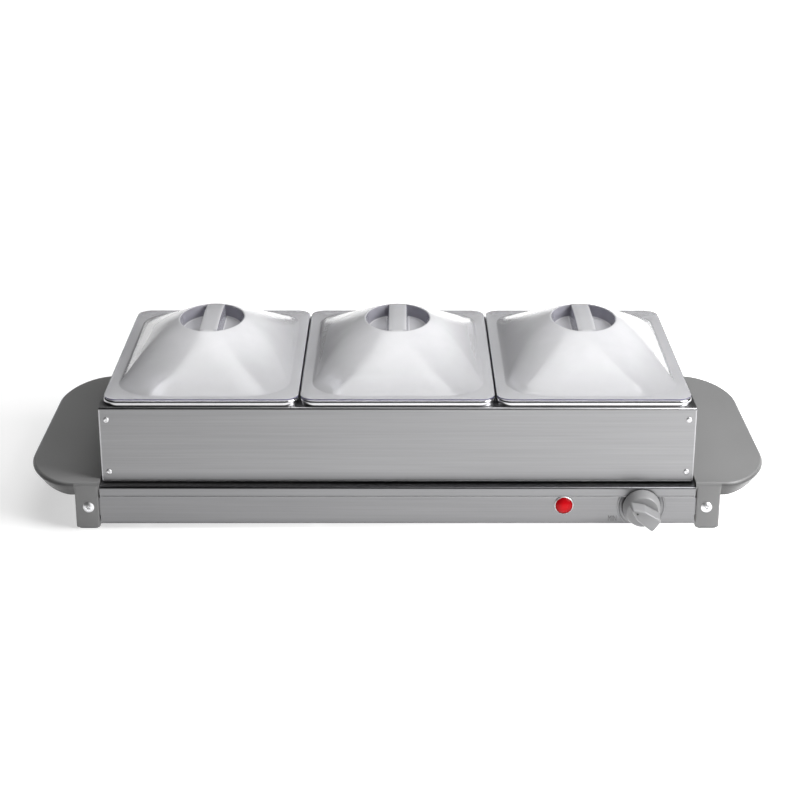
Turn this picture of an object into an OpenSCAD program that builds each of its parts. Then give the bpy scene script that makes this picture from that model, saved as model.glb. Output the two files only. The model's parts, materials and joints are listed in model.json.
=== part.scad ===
// Electric buffet server: a warming base with moulded carrying ends, a lift-off tray frame,
// three food pans and three clear domed lids.
// Millimetres. +X to the right, +Y to the back, +Z up. The origin is on the table,
// under the middle of the whole footprint, knob and cord gland included.

/* [Base] */
// Length of the steel base between its moulded ends
base_w = 515; // [500:1:540]
// Depth of the base, front flange to rear flange
base_d = 276.6; // [270:0.2:300]
// Height of the warming plate's top above the table
base_top = 39.1; // [36:0.1:46]
// Underside of the front and rear panels above the table
base_bottom = 4.6; // [4:0.1:8]
// Height of the plate's down-turned front and rear flanges
flange_h = 8.4; // [6:0.1:9]
// Sheet steel thickness
sheet = 0.8; // [0.6:0.1:1]

/* [Moulded ends] */
// Overall length over both carrying wings
overall_w = 652; // [640:1:670]
// Top of the wings above the table
wing_top = 43; // [41:0.1:50]
// Height of the skirt round each wing
skirt_h = 12.6; // [9:0.1:14]
// Wall thickness of the mouldings
wall = 2.5; // [2:0.1:3]
// Width of each leg
leg_w = 20.5; // [18:0.5:24]
// Depth of each leg, front to back
leg_d = 26; // [24:1:32]
// Height of the rubber pad that shows under each leg
pad_h = 1; // [0.6:0.1:2]

/* [Tray frame] */
// Length of the tray frame
frame_w = 512; // [508:1:514]
// Depth of the tray frame
frame_d = 257.8; // [254:0.2:262]
// Height of the frame's deck above the table
deck_top = 108.5; // [104:0.5:116]
// Shadow gap under the frame's front and rear walls
frame_gap = 1.5; // [0.5:0.1:3]

/* [Pans and lids] */
// Distance between neighbouring pan centres
pan_pitch = 169.1; // [169:0.1:170]
// Width of a pan over its rim
rim_w = 168; // [164:0.2:168.4]
// Length of a pan over its rim
rim_l = 252; // [246:0.5:254]
// Height of the rolled rim above the deck
rim_h = 5.3; // [4:0.1:7]
// Overall depth of a pan
pan_depth = 65; // [55:1:68]
// Height of the lid's dome over its flange, at the grip
dome_h = 35; // [30:0.5:40]
// Thickness of the lid's flange
lid_flange = 1.6; // [1.4:0.1:2.4]
// Depth of the finger recess in the lid
recess_h = 11; // [9:0.5:16]
// Width of the grip between the two finger recesses
grip_w = 14; // [12:0.5:18]

/* [Controls] */
// Height of the lamp and the cord gland above the table
control_z = 22; // [20:0.5:24]
// Height of the knob above the table
knob_z = 21; // [20:0.5:24]
// Distance of the knob's axis from the middle
knob_x = 211; // [180:1:220]
// Distance of the indicator lamp from the middle
lamp_x = 144; // [100:1:160]
// Diameter of the knob's skirt
knob_d = 32.5; // [28:0.5:34]
// How far the knob stands out from the panel
knob_out = 28; // [22:0.5:30]
// Angle of the knob's grip bar, anticlockwise from the right
knob_angle = 145; // [90:1:180]
// Distance of the cord gland from the middle
gland_x = 200; // [150:1:220]
// Diameter of the hole for the mains cord
cord_hole_d = 7.5; // [7:0.1:8.5]

/* [Hidden] */

$fn = 48;
eps = 0.01;
through = 2;                                  // how far a cutting tool runs past a face

// base
plate_under = base_top - sheet;
panel_y = base_d / 2 - sheet;                 // outer face of the front and rear panels
bend_r = 2;
fold_in = 14;                                 // panels' bottom folds, which carry the cover
cover_z = base_bottom + sheet;
gland_out = 3;
centre_shift = (knob_out - gland_out) / 2;

// moulded ends
end_x = base_w / 2 + 0.1;                     // inner face of each moulding
leg_x = end_x + 1;
corner_rx = 43;
corner_ry = 70;
corner_power = 1.8;
skirt_power = 1.5;                            // the skirt's bottom edge has softer corners
skirt_draft = 3.2;                            // and is drawn in
wing_edge = 2.2;                              // width of the wing's broken upper edge
leg_y = base_d / 2 - leg_d;                   // inner face of a leg
screw_x = 267.6;
screw_z = 20.2;
tab_top = 28;
tab_bottom = 12;

// tray frame
wall_bottom = base_top + frame_gap;
deck_under = deck_top - sheet;
well_a = 77;                                  // half sizes of a pan well
well_b = 119.8;
well_r = 14;
rivet_x = 249.8;
rivet_zs = [49.5, 97.5];
end_flange = 14;

// pans and lids
pan_xs = [-pan_pitch, 0, pan_pitch];
rim_top = deck_top + rim_h;
rim_r = 13;
pan_sheet = 0.8;
dome_base = rim_top + lid_flange;
lid_wall = 2;
oval_a = 30;                                  // half sizes of the finger recess
oval_b = 42;
grip_sag = 1.8;                               // how far the grip's ends lie below its crest
oval_z = dome_base + dome_h - grip_sag;
arc_steps = 7;

// controls
spindle_r = 3;
bush_r = 5;
grip_bar_w = 13;
disc_z = 14;                                  // front of the knob's disc, off the panel

// ---------------------------------------------------------------- helpers

// Moves a drawing centred on the base to the origin under the whole footprint.
module placed() {
    translate([0, centre_shift, 0]) children();
}

// Draws on the front panel: X right, Y up, Z out towards the user.
module on_front(x, z) {
    translate([x, -panel_y, z]) rotate([90, 0, 0]) children();
}

// Draws on the rear panel: Z out towards the back.
module on_rear(x, z) {
    translate([x, panel_y, z]) rotate([-90, 0, 0]) children();
}

module both_sides() {
    children();
    mirror([1, 0, 0]) children();
}

module both_ends() {
    children();
    mirror([0, 1, 0]) children();
}

// A bar along X with the given outline in Y and Z.
module along_x(length) {
    translate([-length / 2, 0, 0]) rotate([90, 0, 90]) linear_extrude(length) children();
}

module rounded_rect(a, b, r) {
    square([2 * a, 2 * (b - r)], center = true);
    square([2 * (a - r), 2 * b], center = true);
    for (sx = [-1, 1], sy = [-1, 1]) translate([sx * (a - r), sy * (b - r)]) circle(r);
}

module tube(r_out, r_in, z0, z1) {
    difference() {
        translate([0, 0, z0]) cylinder(h = z1 - z0, r = r_out);
        translate([0, 0, z0 - through]) cylinder(h = z1 - z0 + 2 * through, r = r_in);
    }
}

module block(low, high) {
    translate(low) cube(high - low);
}

// Points of one level outline: half sizes a and b, corner radii rx and ry, height z.
function ring(o) = [
    for (q = [0:3], i = [0:arc_steps])
    let (
        t = 90 * (q + i / arc_steps),
        sx = (q == 0 || q == 3) ? 1 : -1,
        sy = q < 2 ? 1 : -1
    )
    [sx * (o[0] - o[2]) + o[2] * cos(t), sy * (o[1] - o[3]) + o[3] * sin(t), o[4]]
];

// A closed solid over rings of points, per points to a ring, capped at both ends.
module skin(points, per) {
    count = len(points) / per;
    sides = [
        for (i = [0:count - 2], j = [0:per - 1])
        let (a = i * per + j, b = i * per + (j + 1) % per)
        each [[a, a + per, b + per], [a, b + per, b]]
    ];
    first_cap = [[for (j = [0:per - 1]) j]];
    last_cap = [[for (j = [per - 1:-1:0]) (count - 1) * per + j]];
    polyhedron(points = points, faces = concat(first_cap, sides, last_cap), convexity = 8);
}

// A solid through a list of outlines [a, b, rx, ry, z], from the first to the last.
module loft(outlines) {
    skin([for (o = outlines) each ring(o)], 4 * (arc_steps + 1));
}

function unit(v) = v / norm(v);

// Direction of a route at one of its points.
function heading(route, i) =
    i == 0 ? unit(route[1] - route[0])
    : i == len(route) - 1 ? unit(route[i] - route[i - 1])
    : unit(unit(route[i + 1] - route[i]) + unit(route[i] - route[i - 1]));

// The same route with its corners cut, which rounds its bends.
function soften(route) = [
    route[0],
    for (i = [0:len(route) - 2]) each [
        if (i > 0) route[i] * 0.75 + route[i + 1] * 0.25,
        if (i < len(route) - 2) route[i] * 0.25 + route[i + 1] * 0.75
    ],
    route[len(route) - 1]
];

// A sleeved lead of radius r along a route.
module lead(corners, r) {
    sides = 8;
    lean = [0.2, 0.3, 1];
    route = soften(soften(corners));
    skin([
        for (i = [0:len(route) - 1])
        let (along = heading(route, i), u = unit(cross(along, lean)), v = cross(along, u))
        each [for (k = [0:sides - 1])
            route[i] + r * (cos(360 * k / sides) * u + sin(360 * k / sides) * v)]
    ], sides);
}

// ---------------------------------------------------------------- base sheet metal

// Half outline of a folded sheet in Y and Z: flat top, bend, and wall down to z_low.
module folded_half(half, top, z_low) {
    difference() {
        union() {
            translate([0, z_low]) square([half, top - bend_r - z_low]);
            translate([0, z_low]) square([half - bend_r, top - z_low]);
            translate([half - bend_r, top - bend_r]) circle(bend_r);
        }
        translate([-through, z_low - through])
            square([half - sheet + through, top - bend_r - z_low + through]);
        translate([-through, z_low - through])
            square([half - bend_r + through, top - sheet - z_low + through]);
        translate([half - bend_r, top - bend_r]) circle(bend_r - sheet);
    }
}

module warming_plate() {
    color("silver") placed() along_x(base_w) {
        folded_half(base_d / 2, base_top, base_top - flange_h);
        mirror([1, 0]) folded_half(base_d / 2, base_top, base_top - flange_h);
    }
}

// Front or rear panel without its holes: face, bottom fold, and a stepped tab at each end.
module panel_blank() {
    block([-base_w / 2, -panel_y, base_bottom],
          [base_w / 2, -panel_y + sheet, base_top - bend_r]);
    block([-base_w / 2, -panel_y, base_bottom], [base_w / 2, -panel_y + fold_in, cover_z]);
    both_sides() {
        tab_y = -base_d / 2 + wall;
        block([base_w / 2 - 3, -panel_y, tab_bottom], [base_w / 2 - 2, tab_y + sheet, tab_top]);
        block([base_w / 2 - 3, tab_y, tab_bottom], [screw_x + 8, tab_y + sheet, tab_top]);
    }
}

module panel_fixings() {
    both_sides() {
        translate([screw_x, -base_d / 2, screw_z]) rotate([-90, 0, 0]) cylinder(h = 10, r = 2.2);
        for (x = [70, 220])
            translate([x, -panel_y + fold_in / 2, base_bottom - through]) cylinder(h = 6, r = 1.6);
    }
}

module front_panel() {
    color("silver") placed() difference() {
        panel_blank();
        panel_fixings();
        on_front(knob_x, knob_z) translate([0, 0, -5]) cylinder(h = 10, r = bush_r + 0.2);
        on_front(lamp_x, control_z) translate([0, 0, -5]) cylinder(h = 10, r = 6.1);
    }
}

module rear_panel() {
    color("silver") placed() difference() {
        mirror([0, 1, 0]) difference() {
            panel_blank();
            panel_fixings();
        }
        on_rear(gland_x, control_z) translate([0, 0, -5]) cylinder(h = 10, r = 6.1);
    }
}

module bottom_cover() {
    slot_l = 40;
    color("gray") placed() difference() {
        block([-base_w / 2 + 1, -panel_y + sheet + 0.2, cover_z],
              [base_w / 2 - 1, panel_y - sheet - 0.2, cover_z + sheet]);
        both_ends() both_sides() for (x = [70, 220])
            translate([x, -panel_y + fold_in / 2, cover_z - through]) cylinder(h = 6, r = 1.6);
        for (row = [-1, 1], i = [-3:3]) translate([30 * i, row * 60, cover_z - through])
            linear_extrude(6) {
                square([4, slot_l - 4], center = true);
                for (end = [-1, 1]) translate([0, end * (slot_l / 2 - 2)]) circle(2);
            }
    }
}

// Pan-head screw with a cross recess; the head is above Z = 0 and the shank below it.
module cross_screw(head_r, head_h, shank_r, shank_l) {
    difference() {
        rotate_extrude() intersection() {
            translate([0, -shank_l]) square([head_r, shank_l + head_h]);
            union() {
                translate([0, -shank_l]) square([shank_r, shank_l + head_h]);
                intersection() {
                    ball = (head_r * head_r + head_h * head_h) / (2 * head_h);
                    translate([0, head_h - ball]) circle(ball, $fn = 96);
                    square([head_r, head_h]);
                }
            }
        }
        for (turn = [0, 90]) rotate([0, 0, turn])
            translate([-head_r * 0.5, -head_r * 0.1, head_h * 0.4])
            cube([head_r, head_r * 0.2, head_h]);
    }
}

module bottom_screws() {
    color("dimgray") placed() both_ends() both_sides() for (x = [70, 220])
        translate([x, -panel_y + fold_in / 2, base_bottom]) rotate([180, 0, 0])
        cross_screw(3.2, 1.5, 1.5, 6);
}

// ---------------------------------------------------------------- moulded ends

// Quarter corner of a wing outline, from the outer edge towards the front or back edge.
function wing_corner(inset, power, turns) = [
    for (i = turns) let (t = 90 * i / 10)
    [overall_w / 2 - corner_rx + (corner_rx - inset) * pow(cos(t), 2 / power),
     base_d / 2 - corner_ry + (corner_ry - inset) * pow(sin(t), 2 / power)]
];

// Level outline of the right-hand wing at height z, drawn in by inset on its outer sides.
function wing_ring(inset, z, power = corner_power, x_in = end_x) = [
    [x_in, -base_d / 2 + inset, z],
    for (p = wing_corner(inset, power, [10:-1:0])) [p[0], -p[1], z],
    for (p = wing_corner(inset, power, [0:10])) [p[0], p[1], z],
    [x_in, base_d / 2 - inset, z]
];

module wing_loft(rings) {
    skin([for (r = rings) each r], len(rings[0]));
}

module leg_shell() {
    difference() {
        block([leg_x, -base_d / 2, pad_h], [leg_x + leg_w, -leg_y, wing_top - wall]);
        block([leg_x - through, -base_d / 2 + wall, 5],
              [leg_x + leg_w - wall, -leg_y - wall, wing_top]);
        translate([leg_x + leg_w / 2, -leg_y - leg_d / 2, -through]) cylinder(h = 10, r = 4.2);
    }
}

module end_cap() {
    skirt_z = wing_top - skirt_h;
    open_x = end_x - through;
    difference() {
        union() {
            difference() {
                wing_loft([
                    wing_ring(skirt_draft, skirt_z, skirt_power),
                    wing_ring(0, wing_top - 1.5 * wing_edge),
                    wing_ring(0.5 * wing_edge, wing_top - 0.4 * wing_edge),
                    wing_ring(wing_edge, wing_top)
                ]);
                wing_loft([
                    wing_ring(skirt_draft + wall, skirt_z - eps, skirt_power, open_x),
                    wing_ring(wall + 0.6, wing_top - wall - 0.5, corner_power, open_x),
                    wing_ring(wall + 2, wing_top - wall, corner_power, open_x)
                ]);
            }
            block([end_x, -leg_y, base_bottom], [end_x + wall, leg_y, wing_top - wall]);
            both_ends() leg_shell();
            for (y = [-76, 76])
                block([end_x, y - 1, skirt_z + 1], [overall_w / 2 - 3 * wall, y + 1, wing_top - 1]);
        }
        both_ends() translate([screw_x, -base_d / 2 - through, screw_z]) rotate([-90, 0, 0])
            cylinder(h = 10, r = 2.2);
    }
}

module left_end_cap() {
    color("gray") placed() mirror([1, 0, 0]) end_cap();
}

module right_end_cap() {
    color("gray") placed() end_cap();
}

module end_cap_screws() {
    color("gainsboro") placed() both_ends() both_sides()
        translate([screw_x, -base_d / 2, screw_z]) rotate([90, 0, 0]) cross_screw(4.8, 2.2, 2, 10);
}

module end_cap_nuts() {
    nut_y = base_d / 2 - wall - sheet;
    color("dimgray") placed() both_ends() both_sides()
        translate([screw_x, -nut_y, screw_z]) rotate([-90, 0, 0]) difference() {
            cylinder(h = 3, r = 4, $fn = 6);
            translate([0, 0, -through]) cylinder(h = 10, r = 2.02);
        }
}

module foot_pads() {
    color("#303030") placed() both_ends() both_sides()
        translate([leg_x + leg_w / 2, -leg_y - leg_d / 2, 0]) {
            linear_extrude(pad_h) rounded_rect(leg_w / 2 - 1.5, leg_d / 2 - 1.5, 3);
            cylinder(h = 6, r = 4);
        }
}

// ---------------------------------------------------------------- heating

element_r = 3.25;
element_z = plate_under - element_r;
element_rows = [-75, -25, 25, 75];
element_left = -200;
element_turn = 175;
element_right = 222;

module element_bend(x, y, side) {
    translate([x, y, element_z]) rotate([0, 0, side > 0 ? -90 : 90])
        rotate_extrude(angle = 180) translate([25, 0]) circle(element_r);
}

module element_run(x0, x1, y, r = element_r) {
    translate([x0, y, element_z]) rotate([0, 90, 0]) cylinder(h = x1 - x0, r = r);
}

module heating_element() {
    color("dimgray") placed() {
        for (y = [-75, 75]) {
            element_run(element_left, element_right, y);
            element_run(element_right - eps, element_right + 14, y, 1.25);
        }
        for (y = [-25, 25]) element_run(element_left, element_turn, y);
        for (y = [-50, 50]) element_bend(element_left, y, -1);
        element_bend(element_turn, 0, 1);
    }
}

module element_clamps() {
    low = element_z - element_r;
    color("silver") placed() for (x = [-150, 0, 150]) {
        block([x - 6, -86, low - 1], [x + 6, 86, low]);
        both_ends() {
            block([x - 6, -86, low - 1], [x + 6, -85, plate_under]);
            block([x - 6, -94, plate_under - 1], [x + 6, -85, plate_under]);
        }
    }
}

shield_x0 = -238;
shield_x1 = 214;
shield_y = 102;
shield_z = 22;

module heat_shield() {
    t = 0.5;
    rim = 7;
    color("gainsboro") placed() difference() {
        union() {
            block([shield_x0, -shield_y, shield_z], [shield_x1, shield_y, plate_under]);
            block([shield_x0 - rim, -shield_y - rim, plate_under - t],
                  [shield_x1 + rim - 3, shield_y + rim, plate_under]);
        }
        block([shield_x0 + t, -shield_y + t, shield_z + t],
              [shield_x1 - t, shield_y - t, plate_under + through]);
        for (y = [-75, 75]) translate([shield_x1 - 5, y, element_z]) rotate([0, 90, 0])
            cylinder(h = 10, r = element_r + 0.5);
    }
}

fuse_x = 236;
fuse_z = 34.4;

module thermal_fuse() {
    color("beige") placed() {
        translate([fuse_x, -28, fuse_z]) rotate([-90, 0, 0]) cylinder(h = 12, r = 2);
        translate([fuse_x, -36, fuse_z]) rotate([-90, 0, 0]) cylinder(h = 28, r = 0.6);
    }
}

module fuse_clip() {
    color("silver") placed() difference() {
        union() {
            translate([fuse_x, -26, fuse_z]) rotate([-90, 0, 0]) cylinder(h = 8, r = 2.8);
            block([fuse_x - 8, -26, plate_under - 1], [fuse_x + 8, -18, plate_under]);
            block([fuse_x - 1.5, -26, fuse_z + 2.4], [fuse_x + 1.5, -18, plate_under - 0.5]);
        }
        translate([fuse_x, -30, fuse_z]) rotate([-90, 0, 0]) cylinder(h = 20, r = 2.02);
    }
}

// ---------------------------------------------------------------- controls

module thermostat_body() {
    color("ivory") placed() on_front(knob_x, knob_z) difference() {
        union() {
            translate([0, 0, -1.8]) cylinder(h = 7.8, r = bush_r);
            block([-13, -10, -17], [13, 11, -sheet - 1]);
            block([-11, -9, -sheet - 1 - eps], [11, 9, -sheet]);
            for (x = [-7, 7]) block([x - 2.4, -0.4, -23], [x + 2.4, 0.4, -16]);
        }
        translate([0, 0, -13]) cylinder(h = 30, r = spindle_r + 0.05);
    }
}

module thermostat_nut() {
    color("goldenrod") placed() on_front(knob_x, knob_z) difference() {
        translate([0, 0, 0.6]) cylinder(h = 2.6, r = 8.1, $fn = 6);
        translate([0, 0, -through]) cylinder(h = 10, r = bush_r + 0.02);
    }
}

module dial_plate() {
    r = 21;
    half = knob_z - base_bottom - 1.2;
    up = base_top - flange_h - knob_z - 0.2;
    color("silver") placed() on_front(knob_x, knob_z) intersection() {
        union() {
            tube(r, bush_r + 0.2, 0, 0.6);
            tube(r, r - 1, 0, 1);
        }
        block([-r - 1, -half, -1], [r + 1, up, 2]);
    }
}

module thermostat_spindle() {
    color("goldenrod") placed() on_front(knob_x, knob_z) rotate([0, 0, knob_angle]) difference() {
        translate([0, 0, -12.5]) cylinder(h = 27.5, r = spindle_r);
        block([-5, spindle_r - 1, 7], [5, spindle_r + 1, 20]);
    }
}

// Knob: a skirted disc that tapers to its face, with a raised grip bar narrowed at the pointer's
// end. The bar lies along X before it is turned.
module knob() {
    r = knob_d / 2;
    face_r = r - 3.2;
    half_w = grip_bar_w / 2;
    tail = r - 3;
    color("darkgray") placed() on_front(knob_x, knob_z) rotate([0, 0, knob_angle]) difference() {
        union() {
            translate([0, 0, 2]) cylinder(h = 3, r = r);
            translate([0, 0, 5 - eps]) cylinder(h = disc_z - 6, r1 = r, r2 = face_r + 0.8);
            translate([0, 0, disc_z - 1 - 2 * eps]) cylinder(h = 1, r1 = face_r + 0.8, r2 = face_r);
            hull() for (level = [[disc_z - 3, 1.3], [knob_out - 2, 0], [knob_out - 0.5, -1.2]]) {
                grow = level[1];
                translate([tail - 1.6, 0, level[0]]) cylinder(h = 0.5, r = 1.6 + grow);
                for (at = [[3, half_w - 3.5], [2.5 - tail, half_w - 2.5]], side = [-1, 1])
                    translate([at[0], side * at[1], level[0]]) cylinder(h = 0.5, r = 2.5 + grow);
            }
        }
        difference() {
            translate([0, 0, 2 - through]) cylinder(h = 6 + through, r = r - 2.8);
            translate([0, 0, 6.6]) cylinder(h = 5, r = 6);
        }
        difference() {
            translate([0, 0, 2 - through]) cylinder(h = 13.2 + through, r = spindle_r);
            block([-5, spindle_r - 1, 7], [5, spindle_r + 1, 20]);
        }
    }
}

module indicator_lens() {
    r = 7.4;
    rise = 3.4;
    ball = (r * r + rise * rise) / (2 * rise);
    color("crimson") placed() on_front(lamp_x, control_z) difference() {
        union() {
            translate([0, 0, -9]) cylinder(h = 9.5, r = 6);
            cylinder(h = 1, r = r);
            intersection() {
                translate([0, 0, 1 + rise - ball]) sphere(ball, $fn = 96);
                translate([0, 0, 0.5]) cylinder(h = rise + 1, r = r);
            }
        }
        translate([0, 0, -10]) cylinder(h = 11.5, r = 4.4);
    }
}

module indicator_bezel() {
    color("gainsboro") placed() on_front(lamp_x, control_z) tube(8.2, 7.45, 0, 1.4);
}

module indicator_clip() {
    color("dimgray") placed() on_front(lamp_x, control_z) tube(9, 6.05, -3.2, -sheet);
}

module neon_lamp() {
    color("orange") placed() on_front(lamp_x, control_z) {
        translate([0, 0, -8]) cylinder(h = 7, r = 2.6);
        translate([0, 0, -1]) sphere(2.6);
        for (x = [-1.2, 1.2]) translate([x, 0, -13]) cylinder(h = 5.5, r = 0.4);
    }
}

// ---------------------------------------------------------------- wiring

block_x = 226;
block_y = 84;
cover_top = cover_z + sheet;

module terminal_block() {
    color("ivory") placed() difference() {
        block([block_x, block_y, cover_top], [block_x + 24, block_y + 30, cover_top + 13]);
        for (i = [0:2]) translate([block_x + 12, block_y + 6 + 9 * i, cover_top + 6]) {
            cylinder(h = 10, r = 2);
            translate([-20, 0, 0]) rotate([0, 90, 0]) cylinder(h = 40, r = 1.6);
        }
    }
}

module earth_stud() {
    color("goldenrod") placed() translate([block_x + 12, 60, cover_top]) {
        cylinder(h = 9, r = 2);
        cylinder(h = 1, r = 5);
        translate([0, 0, 1 - eps]) cylinder(h = 3, r = 4, $fn = 6);
    }
}

module wiring_leads() {
    z = cover_top + 6;
    back = -panel_y + 23.5;
    low = z + 4;
    color("firebrick") placed() {
        lead([[block_x - 0.5, block_y + 6, z], [block_x - 5, block_y, z], [block_x - 5, -96, z],
            [knob_x + 7, back + 6, knob_z], [knob_x + 7, back, knob_z]], 1.2);
        lead([[block_x + 24.5, block_y + 6, z], [block_x + 28, block_y - 2, low],
            [block_x + 28, 75, element_z], [element_right + 15, 75, element_z]], 1.2);
        lead([[knob_x - 7, back, knob_z], [knob_x - 7, back + 12, knob_z - 3],
            [block_x + 2, -92, low + 4], [block_x + 18, -75, low + 8],
            [block_x + 18, -52, element_z - 1], [fuse_x, -40, fuse_z], [fuse_x, -37, fuse_z]], 1.2);
        lead([[fuse_x, -7, fuse_z], [fuse_x + 8, -3, fuse_z - 3], [fuse_x + 14, -60, fuse_z - 3],
            [fuse_x + 10, -75, element_z], [element_right + 15, -75, element_z]], 1.2);
        lead([[lamp_x - 1.2, -panel_y + 13.5, control_z], [lamp_x - 4, -panel_y + 20, z],
            [lamp_x + 30, -panel_y + 27, z - 3], [block_x - 12, -panel_y + 33, z - 3],
            [block_x - 9, block_y + 10, z], [block_x - 0.5, block_y + 15, z]], 1);
        lead([[lamp_x + 1.2, -panel_y + 13.5, control_z], [lamp_x + 6, -panel_y + 17, control_z],
            [knob_x - 18, -panel_y + 22, control_z - 3], [knob_x - 18, -panel_y + 28, control_z - 3]], 1);
    }
}

module cord_gland() {
    color("#202020") placed() on_rear(gland_x, control_z) difference() {
        union() {
            cylinder(h = gland_out, r1 = 9, r2 = 8);
            translate([0, 0, -sheet - eps]) cylinder(h = sheet + 2 * eps, r = 6);
            translate([0, 0, -9]) cylinder(h = 9 - sheet, r = 7.6);
        }
        translate([0, 0, -20]) cylinder(h = 40, r = cord_hole_d / 2);
    }
}

// ---------------------------------------------------------------- tray frame

module wells(grow, z0, z1) {
    for (x = pan_xs) translate([x, 0, z0]) linear_extrude(z1 - z0)
        rounded_rect(well_a + grow, well_b + grow, well_r + grow);
}

module tray_frame() {
    hem = 5;
    color("silver") placed() difference() {
        union() {
            along_x(frame_w) for (side = [0, 1]) mirror([side, 0]) {
                folded_half(frame_d / 2, deck_top, wall_bottom);
                translate([frame_d / 2 - 2 * sheet, wall_bottom]) square([sheet + eps, hem]);
            }
            difference() {
                wells(sheet, deck_top - 6, deck_under + eps);
                wells(0, deck_top - 8, deck_top + through);
            }
        }
        wells(0, deck_top - 8, deck_top + through);
        both_ends() both_sides() for (z = rivet_zs)
            translate([rivet_x, -frame_d / 2 - through, z]) rotate([-90, 0, 0])
                cylinder(h = 6, r = 1.65);
    }
}

module frame_end() {
    inner_y = frame_d / 2 - sheet;
    color("silver") placed() difference() {
        union() {
            block([frame_w / 2 - sheet, -inner_y, base_top], [frame_w / 2, inner_y, deck_under]);
            both_ends() block([frame_w / 2 - end_flange, -inner_y, wall_bottom + 6],
                              [frame_w / 2, -inner_y + sheet, deck_under - 2]);
        }
        both_ends() for (z = rivet_zs)
            translate([rivet_x, -frame_d / 2 - through, z]) rotate([-90, 0, 0])
                cylinder(h = 6, r = 1.65);
    }
}

module left_frame_end() {
    mirror([1, 0, 0]) frame_end();
}

module right_frame_end() {
    frame_end();
}

module frame_rivets() {
    head_r = 2.5;
    head_h = 1.1;
    ball = (head_r * head_r + head_h * head_h) / (2 * head_h);
    color("gainsboro") placed() both_ends() both_sides() for (z = rivet_zs)
        translate([rivet_x, -frame_d / 2, z]) rotate([90, 0, 0]) rotate_extrude() {
            intersection() {
                translate([0, head_h - ball]) circle(ball, $fn = 96);
                square([head_r, head_h]);
            }
            translate([0, -2 * sheet - eps]) square([1.6, 2 * sheet + 2 * eps]);
            translate([0, -2 * sheet - 1.4]) square([2.4, 1.4]);
        }
}

// ---------------------------------------------------------------- pans and lids

module pan(x) {
    a = rim_w / 2;
    b = rim_l / 2;
    r = rim_r;
    t = pan_sheet;
    floor_z = rim_top - pan_depth;
    mouth = 8.5;                              // rim's width, outer edge to the opening
    wall_in = 15;                             // the same to the foot of the drafted wall
    function outline(inset, radius, z) = [a - inset, b - inset, radius, radius, z];
    color("gainsboro") placed() translate([x, 0, 0]) loft([
        outline(wall_in + 7, 13, floor_z),
        outline(wall_in + 1.2, 17, floor_z + 1.4),
        outline(wall_in - t, 18.8, floor_z + 6),
        outline(mouth - t, 13.8, rim_top - 2),
        outline(mouth - 1.4, 14.4, rim_top - t),
        outline(2, r - 2, rim_top - t),
        outline(t, r - t, rim_top - 2),
        outline(t, r - t, deck_top),
        outline(0, r, deck_top),
        outline(0, r, rim_top - 1.6),
        outline(1.4, r - 1.4, rim_top),
        outline(mouth - 1.2, 14.2, rim_top),
        outline(mouth, 13, rim_top - 1.6),
        outline(wall_in, 18, floor_z + 6.4),
        outline(wall_in + 2, 16.2, floor_z + 2.2),
        outline(wall_in + 7, 13, floor_z + t)
    ]);
}

module pan_left() {
    pan(pan_xs[0]);
}

module pan_center() {
    pan(pan_xs[1]);
}

module pan_right() {
    pan(pan_xs[2]);
}

dome_a = 74;                                  // half sizes of the dome's foot
dome_b = 118.5;
dome_r = 37;
lid_play = 0.3;                               // how far the lid's edge stays inside the rim's
locating_lip = 2.5;
lip_inset = 1.6;                              // from the dome's foot to the locating lip

// Height of the dome as a share, at share s of the way in.
function dome_rise(s) = (1 - pow(1 - 0.7 * s, 1.4)) / (1 - pow(0.3, 1.4));

// Outline of the dome at share s of the way from its foot to the finger recess.
function dome_outline(s, inset, drop) =
    let (
        a = dome_a + (oval_a - dome_a) * s,
        b = dome_b + (oval_b - dome_b) * s,
        straight = pow(1 - s, 2)              // share left of the foot's straight sides
    )
    [
        a - inset,
        b - inset,
        a - (dome_a - dome_r) * straight - inset,
        b - (dome_b - dome_r) * straight - inset,
        dome_base + (oval_z - dome_base) * dome_rise(s) - drop
    ];

function oval(grow, z) = [oval_a + grow, oval_b + grow, oval_a + grow, oval_b + grow, z];

module lid_shell() {
    a = rim_w / 2 - lid_play;
    b = rim_l / 2 - lid_play;
    t = lid_wall;
    floor_z = oval_z - recess_h;
    lip_z = rim_top - locating_lip;
    loft([
        oval(-4.5, floor_z - t),
        oval(-1, floor_z + 0.6 - t),
        oval(t - 0.6, oval_z - 2.4),
        for (s = [0.9:-0.15:0.15]) dome_outline(s, t * 0.6, t * 0.9),
        dome_outline(0, lip_inset + 1.4, lid_flange + locating_lip),
        dome_outline(0, lip_inset, lid_flange + locating_lip),
        dome_outline(0, lip_inset, lid_flange),
        [a, b, rim_r, rim_r, rim_top],
        [a, b, rim_r, rim_r, dome_base],
        dome_outline(0, 0, 0),
        for (s = [0.15:0.15:0.9]) dome_outline(s, 0, 0),
        oval(0.6, oval_z - 0.1),
        oval(-0.5, oval_z - 0.5),
        oval(-2.6, floor_z + 1.2),
        oval(-4.5, floor_z)
    ]);
}

// Side view of the grip, which runs from front to back across the recess.
module grip_side(drop, z_low) {
    reach = oval_b + 1 - drop / 2;
    crest = dome_base + dome_h - drop;
    steps = 12;
    polygon(concat(
        [[-reach, z_low]],
        [for (i = [-steps:steps]) [reach * i / steps, crest - (grip_sag + 0.3) * pow(i / steps, 2)]],
        [[reach, z_low]]
    ));
}

module grip_bar(width, drop, z_low) {
    translate([-width / 2, 0, 0]) rotate([90, 0, 90]) linear_extrude(width)
        grip_side(drop, z_low);
}

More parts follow.
